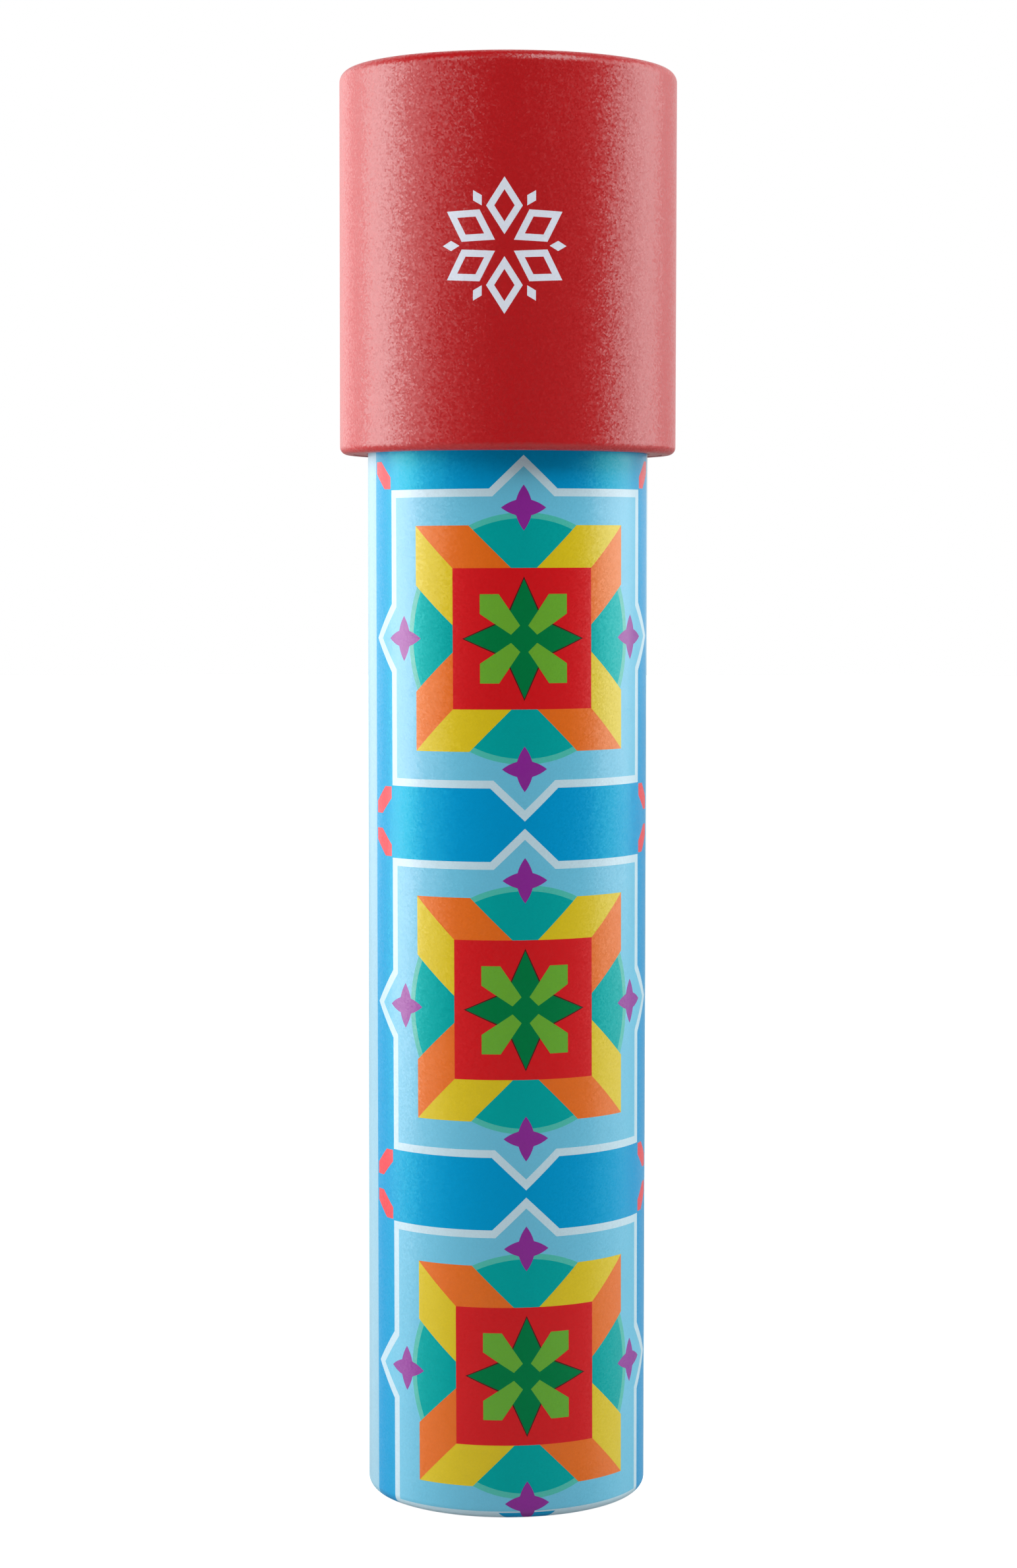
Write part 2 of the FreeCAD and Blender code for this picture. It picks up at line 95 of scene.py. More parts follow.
FELT_LUMP = 0.7          # size of its lumps
FELT_DEPTH = 0.12        # deepest that its surface sinks between them
CHARM_EDGE = 0.25        # rounding of the charms' edges
CHARM_WELD = 0.001       # corners nearer than this are one
CHARM_FLAT = math.radians(1)     # faces that meet at less than this are one flat face
CHARM_SHARP = math.radians(30)   # edges sharper than this are rounded
CLEARANCE = 0.02         # keeps faces that touch in the frame from lying in one another

# ---------------------------------------------------------------- materials


def srgb(red, green, blue):
    """Display values from 0 to 255 as a linear RGBA colour."""
    def linear(value):
        share = value / 255
        return share / 12.92 if share <= 0.04045 else ((share + 0.055) / 1.055) ** 2.4

    return (linear(red), linear(green), linear(blue), 1.0)


def new_material(name, colour, roughness, **sockets):
    """A Principled material; sockets are named with _ for a space."""
    material = bpy.data.materials.new(name)
    material.use_nodes = True
    shader = material.node_tree.nodes["Principled BSDF"]
    shader.inputs["Base Color"].default_value = colour
    shader.inputs["Roughness"].default_value = roughness
    for socket, value in sockets.items():
        shader.inputs[socket.replace("_", " ")].default_value = value
    material.diffuse_color = colour
    return material


def add_node(material, kind, **sockets):
    """A new node in the material; sockets are named with _ for a space."""
    node = material.node_tree.nodes.new(kind)
    for socket, value in sockets.items():
        node.inputs[socket.replace("_", " ")].default_value = value
    return node


def add_grain(material, size, depth, spread=0.0, stretch=(1.0, 1.0, 1.0)):
    """Fine surface grain: its size and depth in millimetres, and how far roughness varies.

    stretch scales the grain's pattern along each axis; a small number draws it out.
    """
    link = material.node_tree.links.new
    shader = material.node_tree.nodes["Principled BSDF"]
    place = add_node(material, "ShaderNodeTexCoord")
    mapping = add_node(material, "ShaderNodeMapping", Scale=stretch)
    cloud = add_node(material, "ShaderNodeTexNoise", Scale=1 / (size * MM), Detail=2.0)
    bump = add_node(material, "ShaderNodeBump", Strength=1.0, Distance=depth * MM)
    link(place.outputs["Object"], mapping.inputs["Vector"])
    link(mapping.outputs["Vector"], cloud.inputs["Vector"])
    link(cloud.outputs["Fac"], bump.inputs["Height"])
    link(bump.outputs["Normal"], shader.inputs["Normal"])
    if spread:
        middle = shader.inputs["Roughness"].default_value
        low, high = middle - spread, middle + spread
        remap = add_node(material, "ShaderNodeMapRange", To_Min=low, To_Max=high)
        link(cloud.outputs["Fac"], remap.inputs["Value"])
        link(remap.outputs["Result"], shader.inputs["Roughness"])
    return material


def add_speckle(material, size, share):
    """Fine light and dark speckle in the base colour: its size in millimetres and its share."""
    link = material.node_tree.links.new
    shader = material.node_tree.nodes["Principled BSDF"]
    colour = tuple(shader.inputs["Base Color"].default_value)
    place = add_node(material, "ShaderNodeTexCoord")
    cloud = add_node(material, "ShaderNodeTexNoise", Scale=1 / (size * MM), Detail=3.0)
    level = add_node(
        material, "ShaderNodeMapRange",
        From_Min=0.3, From_Max=0.7, To_Min=1 - share, To_Max=1 + share,
    )
    tint = add_node(material, "ShaderNodeHueSaturation", Color=colour)
    link(place.outputs["Object"], cloud.inputs["Vector"])
    link(cloud.outputs["Fac"], level.inputs["Value"])
    link(level.outputs["Result"], tint.inputs["Value"])
    link(tint.outputs["Color"], shader.inputs["Base Color"])
    return material


def add_flakes(material, size, tilt):
    """Pearly flakes: each cell of that size, in millimetres, leans its own way, up to tilt."""
    link = material.node_tree.links.new
    shader = material.node_tree.nodes["Principled BSDF"]
    place = add_node(material, "ShaderNodeTexCoord")
    cells = add_node(material, "ShaderNodeTexVoronoi", Scale=1 / (size * MM))
    lean = add_node(material, "ShaderNodeVectorMath")
    lean.operation = "MULTIPLY_ADD"
    lean.inputs[1].default_value = (tilt, tilt, tilt)
    lean.inputs[2].default_value = (-tilt / 2, -tilt / 2, -tilt / 2)
    surface = add_node(material, "ShaderNodeNewGeometry")
    total = add_node(material, "ShaderNodeVectorMath")
    unit = add_node(material, "ShaderNodeVectorMath")
    unit.operation = "NORMALIZE"
    link(place.outputs["Object"], cells.inputs["Vector"])
    link(cells.outputs["Color"], lean.inputs[0])
    link(lean.outputs["Vector"], total.inputs[0])
    link(surface.outputs["Normal"], total.inputs[1])
    link(total.outputs["Vector"], unit.inputs[0])
    link(unit.outputs["Vector"], shader.inputs["Normal"])
    return material


SATIN_ROUGHNESS = 0.32
SATIN_GLOSS = 0.7        # specular level
SATIN_FLAKE = 0.26       # size of a pearly flake, in millimetres
CAP_TILT = 0.20          # how far the cap's flakes lean
FILM_TILT = 0.09         # how far those of the printed film do
SATIN_SPECKLE = 0.03     # how much its base colour varies
CLEAR_INDEX = 1.25       # below real plastic's, which keeps the lamps' reflections weak


def satin(name, colour, sheen=(1.0, 1.0, 1.0, 1.0), tilt=FILM_TILT):
    """Satin plastic or film with a pearly grain; sheen tints its gloss."""
    material = new_material(
        name, colour, SATIN_ROUGHNESS, Specular_IOR_Level=SATIN_GLOSS, Specular_Tint=sheen
    )
    add_flakes(material, SATIN_FLAKE, tilt)
    return add_speckle(material, SATIN_FLAKE, SATIN_SPECKLE)


def clear(name, colour, roughness, cover, grain_size=1.5, grain_depth=0.004):
    """Clear, tinted or frosted plastic; cover is how much of what lies behind it is hidden."""
    material = new_material(name, colour, roughness, IOR=CLEAR_INDEX, Alpha=cover)
    return add_grain(material, grain_size, grain_depth)


def moulded(name, colour):
    """Plain moulded plastic with a fine matt texture."""
    material = new_material(name, colour, roughness=0.42)
    return add_grain(material, size=0.35, depth=0.012, spread=0.06)


def silvered(name):
    """A mirror with the faintest ripple."""
    material = new_material(name, (0.88, 0.89, 0.90, 1.0), roughness=0.03, Metallic=1.0)
    return add_grain(material, size=6.0, depth=0.001, spread=0.01)


def board(name, colour):
    """Board with fibres that run along it."""
    material = new_material(name, colour, roughness=0.85)
    add_grain(material, size=0.25, depth=0.03, stretch=(1.0, 1.0, 0.15))
    return add_speckle(material, size=0.3, share=0.12)


def tape(name, colour):
    """Thin tape with a crinkle across its width."""
    material = new_material(name, colour, roughness=0.35, Coat_Weight=0.3)
    add_grain(material, size=0.8, depth=0.02, spread=0.08, stretch=(1.0, 1.0, 0.4))
    return add_speckle(material, size=1.2, share=0.05)


def felt(name, colour):
    """Pressed felt: matted fibres and a soft sheen."""
    material = new_material(
        name, colour, roughness=0.95, Sheen_Weight=0.4, Sheen_Roughness=0.5
    )
    add_grain(material, size=0.18, depth=0.09)
    return add_speckle(material, size=0.25, share=0.25)


# Tints of the inks' gloss, and of the cap's.
BLUE_SHEEN = (0.05, 1.0, 0.6, 1.0)
CYAN_SHEEN = (0.08, 1.0, 1.0, 1.0)
PALE_SHEEN = (1.0, 0.76, 0.78, 1.0)
GREEN_SHEEN = (0.1, 1.0, 0.8, 1.0)
WARM_SHEEN = (1.0, 1.0, 0.75, 1.0)
RED_SHEEN = (1.0, 0.5, 0.5, 1.0)
CAP_SHEEN = (0.64, 0.96, 0.96, 1.0)

# Each ink's base colour and the tint of its gloss.
INKS = {
    "ground_blue": (srgb(0, 140, 198), BLUE_SHEEN),
    "strip_blue": (srgb(138, 186, 206), PALE_SHEEN),
    "coral": (srgb(222, 58, 68), RED_SHEEN),
    "outline": (srgb(185, 211, 222), PALE_SHEEN),
    "pale_blue": (srgb(96, 182, 211), PALE_SHEEN),
    "pale_teal": (srgb(64, 178, 164), PALE_SHEEN),
    "teal": (srgb(0, 152, 150), CYAN_SHEEN),
    "orange": (srgb(220, 98, 0), WARM_SHEEN),
    "yellow": (srgb(210, 182, 0), WARM_SHEEN),
    "red": (srgb(204, 8, 18), RED_SHEEN),
    "star_edge": (srgb(60, 20, 18), RED_SHEEN),
    "deep_green": (srgb(0, 112, 54), GREEN_SHEEN),
    "leaf_green": (srgb(104, 162, 36), GREEN_SHEEN),
    "purple": (srgb(132, 26, 142), PALE_SHEEN),
}
CAP_RED = srgb(181, 6, 14)
MARK_WHITE = srgb(222, 226, 238)

# Each charm node's body, slot and display colour.
CHARMS = {
    "inner_star": ("inner_charms", "charm_pink", (246, 108, 172)),
    "inner_bead": ("inner_charms", "charm_green", (56, 200, 110)),
    "middle_flowers": ("middle_charms", "charm_orange", (250, 148, 40)),
    "middle_chips": ("middle_charms", "charm_blue", (50, 120, 236)),
    "middle_rods": ("middle_charms", "charm_yellow", (252, 222, 60)),
    "outer_stars": ("outer_charms", "charm_red", (232, 44, 60)),
    "outer_beads": ("outer_charms", "charm_turquoise", (40, 208, 214)),
    "outer_gems": ("outer_charms", "charm_purple", (166, 70, 204)),
    "outer_rods": ("outer_charms", "charm_green", (56, 200, 110)),
}

# ---------------------------------------------------------------- flat artwork
# Outlines lie on the unrolled sheet, x round the tube and y up it, and run either way round.


def moved(outline, dx, dy, scale=1.0):
    """The outline scaled about the origin, then moved."""
    return [(x * scale + dx, y * scale + dy) for x, y in outline]


def flipped(outline, sign_x, sign_y):
    """The outline mirrored wherever a sign is -1."""
    return [(x * sign_x, y * sign_y) for x, y in outline]


def four_fold(quarter):
    """A closed outline from its first quarter, which runs from the y axis to the x axis."""
    right = quarter + flipped(quarter[-2::-1], 1, -1)
    return right + flipped(right[-2:0:-1], -1, 1)


def bowed(start, end, bow, steps=4):
    """Points after start up to end on a shallow curve that bows to the line's left."""
    (x0, y0), (x1, y1) = start, end
    length = math.hypot(x1 - x0, y1 - y0)
    left = (-(y1 - y0) / length, (x1 - x0) / length)
    points = []
    for k in range(1, steps + 1):
        t = k / steps
        rise = 4 * bow * t * (1 - t)
        points.append((
            x0 + (x1 - x0) * t + left[0] * rise,
            y0 + (y1 - y0) * t + left[1] * rise,
        ))
    return points


def circle(radius, points=96):
    turns = [TURN * k / points for k in range(points)]
    return [(radius * math.cos(a), radius * math.sin(a)) for a in turns]


def square(half_x, half_y):
    return four_fold([(0.0, half_y), (half_x, half_y), (half_x, 0.0)])


def notched_square(half_x, half_y, notch, apex_x, apex_y):
    """A square with a small triangular bump in the middle of each side."""
    return four_fold([
        (0.0, apex_y), (notch, half_y), (half_x, half_y), (half_x, notch), (apex_x, 0.0),
    ])


def four_star(reach_x, reach_y, waist, bow=0.0):
    """A four-pointed star; bow curves the sides of its arms outwards."""
    top, middle, right = (0.0, reach_y), (waist, waist), (reach_x, 0.0)
    steps = 4 if bow else 1
    return four_fold([top] + bowed(top, middle, bow, steps) + bowed(middle, right, bow, steps))


def slanted(near, far, leg):
    """A sloping bar with a square corner at each end; leg is the length of its sides there."""
    (x0, y0), (x1, y1) = near, far
    return [(x0, y0), (x0 + leg, y0), (x1, y1 - leg), (x1, y1), (x1 - leg, y1), (x0, y0 + leg)]


# The tile, in tube radii from its own middle.
FRAME_X, FRAME_Y = 1.061, 1.034          # half-size of the tile's outline
NOTCH = 0.24                             # half-width of the bump in each side
APEX = 1.264                             # tip of the bump
LINE = 0.0545                            # width of the outline
BLOCK_X, BLOCK_Y = 0.806, 0.782          # outer corners of the folded ribbon
HEART_X, HEART_Y = 0.505, 0.488          # half-size of the red square
CELL_X, CELL_Y = 1.300, 1.289            # from the tile's middle to the edge of its cell
FAN_EDGE, FAN = 0.87, 0.83               # radii of the pale and the teal disc
GREEN_X, GREEN_Y, GREEN_WAIST = 0.420, 0.413, 0.126   # the green star
STAR_EDGE = 0.008                        # dark edge round the green star
PURPLE, PURPLE_WAIST, PURPLE_BOW = 0.158, 0.053, 0.006   # the small purple stars
STAR_PLACE_X, STAR_PLACE_Y = 0.923, 0.9025               # how far out they are
PETAL_NEAR, PETAL_FAR, PETAL_LEG = (1.073, 1.043), (1.282, 1.236), 0.082
FOOT_LINE = 0.957                        # upper edge of the lowest tile's foot line
FOOT_BUMP = [(-0.205, -0.968), (0.205, -0.968), (0.0, -1.19)]


def ribbon(sign_x, sign_y):
    """One corner of the folded ribbon: its flat piece and its upright piece."""
    flat = [
        (BLOCK_X, BLOCK_Y), (0.386, BLOCK_Y), (0.090, HEART_Y), (HEART_X, HEART_Y),
    ]
    upright = [
        (BLOCK_X, BLOCK_Y), (HEART_X, HEART_Y), (HEART_X, 0.094), (BLOCK_X, 0.370),
    ]
    falling = sign_x * sign_y < 0
    flat_ink, upright_ink = ("orange", "yellow") if falling else ("yellow", "orange")
    return [
        (flat_ink, flipped(flat, sign_x, sign_y)),
        (upright_ink, flipped(upright, sign_x, sign_y)),
    ]


def leaf(sign_x, sign_y):
    """One leaf on the green star, in the corner that the signs say."""
    outline = [(0.308, 0.308), (0.175, 0.308), (0.028, 0.091), (0.091, 0.028), (0.308, 0.172)]
    return ("leaf_green", flipped(outline, sign_x, sign_y))


def tile_layers(row):
    """The tile's shapes from the lowest up, each an ink and an outline."""
    corners = [(-1, 1), (1, 1), (1, -1), (-1, -1)]
    slope = math.sqrt(2)
    inner_notch = NOTCH - LINE * (slope - 1)
    inner_apex = APEX - LINE * slope
    edge = STAR_EDGE
    layers = [
        ("outline", notched_square(FRAME_X, FRAME_Y, NOTCH, APEX, APEX)),
        ("pale_blue", notched_square(
            FRAME_X - LINE, FRAME_Y - LINE, inner_notch, inner_apex, inner_apex
        )),
        ("pale_teal", circle(FAN_EDGE)),
        ("teal", circle(FAN)),
    ]
    if row == 0:
        # The tile that meets the foot has a wider line there and a bump of the ground's blue.
        half_x, half_y = FRAME_X - LINE, (FRAME_Y - FOOT_LINE) / 2
        foot_line = moved(square(half_x, half_y), 0, -(FRAME_Y + FOOT_LINE) / 2)
        layers.append(("outline", foot_line))
        layers.append(("ground_blue", FOOT_BUMP))
    for corner in corners:
        layers += ribbon(*corner)
    layers += [
        ("red", square(HEART_X, HEART_Y)),
        ("star_edge", four_star(GREEN_X + 2 * edge, GREEN_Y + 2 * edge, GREEN_WAIST + edge)),
        ("deep_green", four_star(GREEN_X, GREEN_Y, GREEN_WAIST)),
    ]
    layers += [leaf(*corner) for corner in corners]
    small_star = four_star(PURPLE, PURPLE, PURPLE_WAIST, PURPLE_BOW)
    for x, y in ((0, 1), (0, -1), (1, 0), (-1, 0)):
        layers.append(("purple", moved(small_star, x * STAR_PLACE_X, y * STAR_PLACE_Y)))
    petal = slanted(PETAL_NEAR, PETAL_FAR, PETAL_LEG)
    for corner in corners:
        layers.append(("coral", flipped(petal, *corner)))
    return layers


# The sleeve, in millimetres.
TILE_TURN = 0.1120       # turn of the front column, in radians
FIRST_TILE = 22.07       # height of the lowest tile's middle
TILE_ROWS = 4            # the top one is half under the cap
WRAP_TILT = 0.0053       # the film is wrapped a little askew, in radians
WRAP_PIVOT = 150.0       # height at which the front column is where TILE_TURN says


def askew(outline):
    """The outline as it lies on the tube, turned by the film's tilt."""
    middle = TILE_TURN * TUBE_RADIUS
    return [
        (x + (WRAP_PIVOT - y) * WRAP_TILT, y + (x - middle) * WRAP_TILT) for x, y in outline
    ]


def sleeve_layers():
    """The whole sleeve: two columns of tiles, and a plain strip between the columns."""
    layers = []
    strip = square((TURN / 4 - CELL_X) * TUBE_RADIUS, SLEEVE_TOP * 2)
    for quarter in (-1, 1, 3):
        middle = (TILE_TURN + quarter * TURN / 4) * TUBE_RADIUS
        layers.append(("strip_blue", askew(moved(strip, middle, 0))))
    for column in range(2):
        middle = (TILE_TURN + column * TURN / 2) * TUBE_RADIUS
        for row in range(TILE_ROWS):
            height = FIRST_TILE + row * 2 * CELL_Y * TUBE_RADIUS
            for name, outline in tile_layers(row):
                layers.append((name, askew(moved(outline, middle, height, TUBE_RADIUS))))
    return layers


# The cap's emblem, in millimetres and radians.
MARK_PETALS = 6
MARK_REACH = 10.0        # from its middle to a petal's tip
PETAL_RISE = 0.58        # from its middle to a petal's, as a share of its reach
GEM_RISE = 0.80          # and to that of a small diamond between two petals
MARK_HEIGHT = 191.2      # height of its middle
MARK_TURN = -0.02        # turn of its middle about the axis


def turned(outline, angle):
    """The outline turned about the origin."""
    c, s = math.cos(angle), math.sin(angle)
    return [(x * c - y * s, x * s + y * c) for x, y in outline]


def diamond(half_x, half_y, rise):
    """A diamond whose middle is that far above the origin."""
    return moved([(0, half_y), (half_x, 0), (0, -half_y), (-half_x, 0)], 0, rise)


def cap_layers():
    """The emblem on the cap: a plain six-fold rosette of diamonds, in shares of its reach."""
    petal = diamond(0.27, 0.42, PETAL_RISE)
    hollow = diamond(0.15, 0.235, PETAL_RISE)
    gem = turned(diamond(0.075, 0.13, GEM_RISE), TURN / MARK_PETALS / 2)
    layers = []
    for k in range(MARK_PETALS):
        for name, outline in (("mark", petal), ("cap", hollow), ("mark", gem)):
            outline = turned(outline, TURN * k / MARK_PETALS)
            outline = moved(outline, MARK_TURN * CAP_RADIUS, MARK_HEIGHT, MARK_REACH)
            layers.append((name, outline))
    return layers


# ---------------------------------------------------------------- turned shapes

ARC_STEP = math.radians(9)
SMOOTH = math.radians(32)        # edges sharper than this stay sharp
SEGMENTS = 192           # flats round a turned piece
COLUMNS = 180            # flats round a printed shell
ROW_PITCH = 4.0          # longest straight step up a printed shell
SAME = 0.0002            # points of the artwork nearer than this are one
ON_EDGE = 5 * SAME       # a point is on the sheet's edge if it is nearer than this
SAME_TURN = 1e-7         # vertices of two rings at turns nearer than this face each other


def rounded(corners):
    """A path through (radius, height, rounding) corners, with its rounded corners as arcs."""
    path = []
    for k, (r, z, rounding) in enumerate(corners):
        if not rounding:
            path.append((r, z))
            continue
        here = complex(r, z)
        before = complex(*corners[k - 1][:2]) - here
        after = complex(*corners[(k + 1) % len(corners)][:2]) - here
        before, after = before / abs(before), after / abs(after)
        opening = abs(cmath.phase(after / before))
        centre = here + (before + after) / abs(before + after) * rounding / math.sin(opening / 2)
        start = here + before * rounding / math.tan(opening / 2) - centre
        end = here + after * rounding / math.tan(opening / 2) - centre
        sweep = cmath.phase(end / start)
        steps = max(2, math.ceil(abs(sweep) / ARC_STEP))
        for step in range(steps + 1):
            point = centre + start * cmath.rect(1, sweep * step / steps)
            path.append((point.real, point.imag))
    return path


def new_piece(name, vertices, faces, body, stands_for, slot, materials, indices=None):
    """A mesh piece, sizes in millimetres, smooth except at its sharp edges.

    indices give each face's place in the list of materials.
    """
    mesh = bpy.data.meshes.new(name)
    mesh.from_pydata([Vector(v) * MM for v in vertices], [], faces)
    for material in materials:
        mesh.materials.append(material)
    if indices is not None:
        mesh.polygons.foreach_set("material_index", indices)
    mesh.shade_smooth()
    mesh.set_sharp_from_angle(angle=SMOOTH)
    piece = bpy.data.objects.new(name, mesh)
    bpy.context.scene.collection.objects.link(piece)
    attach(piece, body)
    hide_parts(*stands_for)
    return piece


def lathe(name, path, body, stands_for, slot, material, segments=SEGMENTS):
    """A closed path of (radius, height) points, anticlockwise, turned about the axis."""
    vertices, rings = [], []
    for r, z in path:
        count = segments if r > 0 else 1
        rings.append((len(vertices), count))
        for k in range(count):
            angle = TURN * k / count
            vertices.append((r * math.sin(angle), -r * math.cos(angle), z))
    faces = []
    for k, (low, low_count) in enumerate(rings):
        high, high_count = rings[(k + 1) % len(rings)]
        if low_count == high_count == 1:
            continue
        for i in range(segments):
            j = (i + 1) % segments
            corners = [
                low + i % low_count, low + j % low_count,
                high + j % high_count, high + i % high_count,
            ]
            faces.append(list(dict.fromkeys(corners)))
    return new_piece(name, vertices, faces, body, stands_for, slot, [material])


def pane(name, node, body, slot, material):
    """A round window where its node is, its edges eased."""
    radius, foot, top = span(node)
    path = rounded([
        (0, foot, 0), (radius, foot, PANE_EDGE), (radius, top, PANE_EDGE), (0, top, 0),
    ])
    return lathe(name, path, body, [node], slot, material)


# ---------------------------------------------------------------- printed shells


def inside(outline, x, y):
    """Which of the points x, y lie inside a closed outline."""
    hit = np.zeros(len(x), bool)
    for (x0, y0), (x1, y1) in zip(outline, outline[1:] + outline[:1]):
        if y0 == y1:
            continue
        crosses = (y0 > y) != (y1 > y)
        hit ^= crosses & (x < x0 + (y - y0) * (x1 - x0) / (y1 - y0))
    return hit


def bridge(low, high):
    """Faces between two rings, each a list of (turn, vertex) pairs in order of turn."""
    low = low + [(low[0][0] + TURN, low[0][1])]
    high = high + [(high[0][0] + TURN, high[0][1])]
    faces = []
    i = j = 0
    while i < len(low) - 1 or j < len(high) - 1:
        next_low = low[i + 1][0] if i < len(low) - 1 else math.inf
        next_high = high[j + 1][0] if j < len(high) - 1 else math.inf
        if abs(next_low - next_high) < SAME_TURN:
            faces.append([low[i][1], low[i + 1][1], high[j + 1][1], high[j][1]])
            i, j = i + 1, j + 1
        elif next_low < next_high:
            faces.append([low[i][1], low[i + 1][1], high[j][1]])
            i += 1
        else:
            faces.append([low[i][1], high[j + 1][1], high[j][1]])
            j += 1
    return faces


def cut_sheet(left, right, rows, columns, layers):
    """Cuts the unrolled sheet along its artwork: points, triangles and each triangle's ink."""
    points, edges = [], []

    def add(outline, closed=True):
        first = len(points)
        points.extend(Vector(p) for p in outline)
        count = len(outline)
        edges.extend((first + k, first + (k + 1) % count) for k in range(count - (not closed)))

    for y in rows:
        add([(left, y), (right, y)], closed=False)
    for x in columns:
        add([(x, rows[0]), (x, rows[-1])], closed=False)
    for _, outline in layers:
        add(outline)
    result = delaunay_2d_cdt(points, edges, [], 0, SAME, False)
    flat = np.array([tuple(p) for p in result[0]])
    triangles = np.array(result[2])
    middle = flat[triangles].mean(axis=1)
    x, y = middle[:, 0], middle[:, 1]
    kept = (x > left) & (x < right) & (y > rows[0]) & (y < rows[-1])
    triangles, x, y = triangles[kept], x[kept], y[kept]
    names = sorted({name for name, _ in layers})
    ink = np.full(len(x), -1)
    for name, outline in layers:
        ink[inside(outline, x, y)] = names.index(name)
    return flat, triangles, [names[k] if k >= 0 else None for k in ink]


def printed_shell(name, skin, back, radius, seam, layers, ground, inks, **piece):
    """A closed turned shell whose outer skin is cut along its printed artwork.

    skin and back are (radius, height) paths; back runs from the skin's top to its foot.
    """
    skin = np.array(skin)
    steps = np.hypot(*np.diff(skin, axis=0).T)
    along = np.concatenate([[0.0], np.cumsum(steps)])
    wall = int(np.argmax(steps))
    along += skin[wall, 1] - along[wall]
    direction = np.diff(skin, axis=0) / steps[:, None]
    outward = np.stack([direction[:, 1], -direction[:, 0]], axis=1)
    # At a joint of two steps the normal leans to the longer one, which is the straight one.
    weight = (steps ** 3)[:, None]
    lean = np.zeros_like(skin)
    lean[:-1] += outward * weight
    lean[1:] += outward * weight
    lean /= np.hypot(*lean.T)[:, None]

    rows = [along[0]]
    for low, high in zip(along[:-1], along[1:]):
        parts = max(1, math.ceil((high - low) / ROW_PITCH))
        rows += [low + (high - low) * k / parts for k in range(1, parts + 1)]
    left, right = seam * radius, (seam + TURN) * radius
    columns = np.linspace(left, right, COLUMNS + 1)
    flat, triangles, names = cut_sheet(left, right, rows, columns, layers)

    # The sheet's right edge is its left edge again.
    used = np.unique(triangles)
    flat_x, flat_y = flat[used, 0], flat[used, 1]
    first = used[np.abs(flat_x - left) < ON_EDGE]
    last = used[np.abs(flat_x - right) < ON_EDGE]
    first, last = first[np.argsort(flat[first, 1])], last[np.argsort(flat[last, 1])]
    join = np.arange(len(flat))
    join[last] = first
    triangles = join[triangles]
    used = np.unique(triangles)
    number = np.full(len(flat), -1)
    number[used] = np.arange(len(used))
    triangles = number[triangles]
    turn, height = flat[used, 0] / radius, flat[used, 1]
    ring = np.interp(height, along, skin[:, 0])
    level = np.interp(height, along, skin[:, 1])
    lean_r, lean_z = np.interp(height, along, lean[:, 0]), np.interp(height, along, lean[:, 1])
    vertices = np.stack([ring * np.sin(turn), -ring * np.cos(turn), level], axis=1).tolist()
    normals = np.stack([lean_r * np.sin(turn), -lean_r * np.cos(turn), lean_z], axis=1)

    def edge_ring(y):
        on_edge = np.nonzero(np.abs(height - y) < ON_EDGE)[0]
        return sorted((float(turn[k]), int(k)) for k in on_edge)

    top, foot = edge_ring(rows[-1]), edge_ring(rows[0])
    rings = [top]
    for r, z in back[1:-1]:
        start = len(vertices)
        turns = [seam + TURN * k / COLUMNS for k in range(COLUMNS)]
        vertices += [(r * math.sin(a), -r * math.cos(a), z) for a in turns]
        rings.append([(a, start + k) for k, a in enumerate(turns)])
    rings.append(foot)
    faces = triangles.tolist()
    skin_faces = len(faces)
    for low, high in zip(rings[:-1], rings[1:]):
        faces += bridge(low, high)

    order = list(inks)
    index = [order.index(n or ground) for n in names]
    index += [order.index(ground)] * (len(faces) - skin_faces)
    made = new_piece(
        name, vertices, faces, materials=list(inks.values()), indices=index, **piece
    )
    loop_normals = []
    for face in made.data.polygons:
        on_skin = face.index < skin_faces
        for vertex in face.vertices:
            loop_normals.append(normals[vertex] if on_skin else (0.0, 0.0, 0.0))
    made.data.normals_split_custom_set(loop_normals)
    return made


def make_sleeve():
    """The printed film, wrapped round the tube and round the edge of its foot."""
    inner = FOOT_ROUND - FILM
    outer_corner = (TUBE_RADIUS, SLEEVE_FOOT, FOOT_ROUND)
    inner_corner = (WALL_RADIUS, SLEEVE_FOOT + FILM, inner)
    path = rounded([
        (FOOT_RING, SLEEVE_FOOT, 0), outer_corner, (TUBE_RADIUS, SLEEVE_TOP, 0),
        (WALL_RADIUS, SLEEVE_TOP, 0), inner_corner, (FOOT_RING, SLEEVE_FOOT + FILM, 0),
    ])
    top = path.index((TUBE_RADIUS, SLEEVE_TOP))
    inks = {name: satin(f"ink_{name}", *look) for name, look in INKS.items()}
    return printed_shell(
        "sleeve_print", path[:top + 1], path[top:] + path[:1], TUBE_RADIUS,
        TILE_TURN - TURN / 4, sleeve_layers(), "ground_blue", inks,
        body="body", stands_for=["printed_sleeve"], slot="sleeve_print",
    )


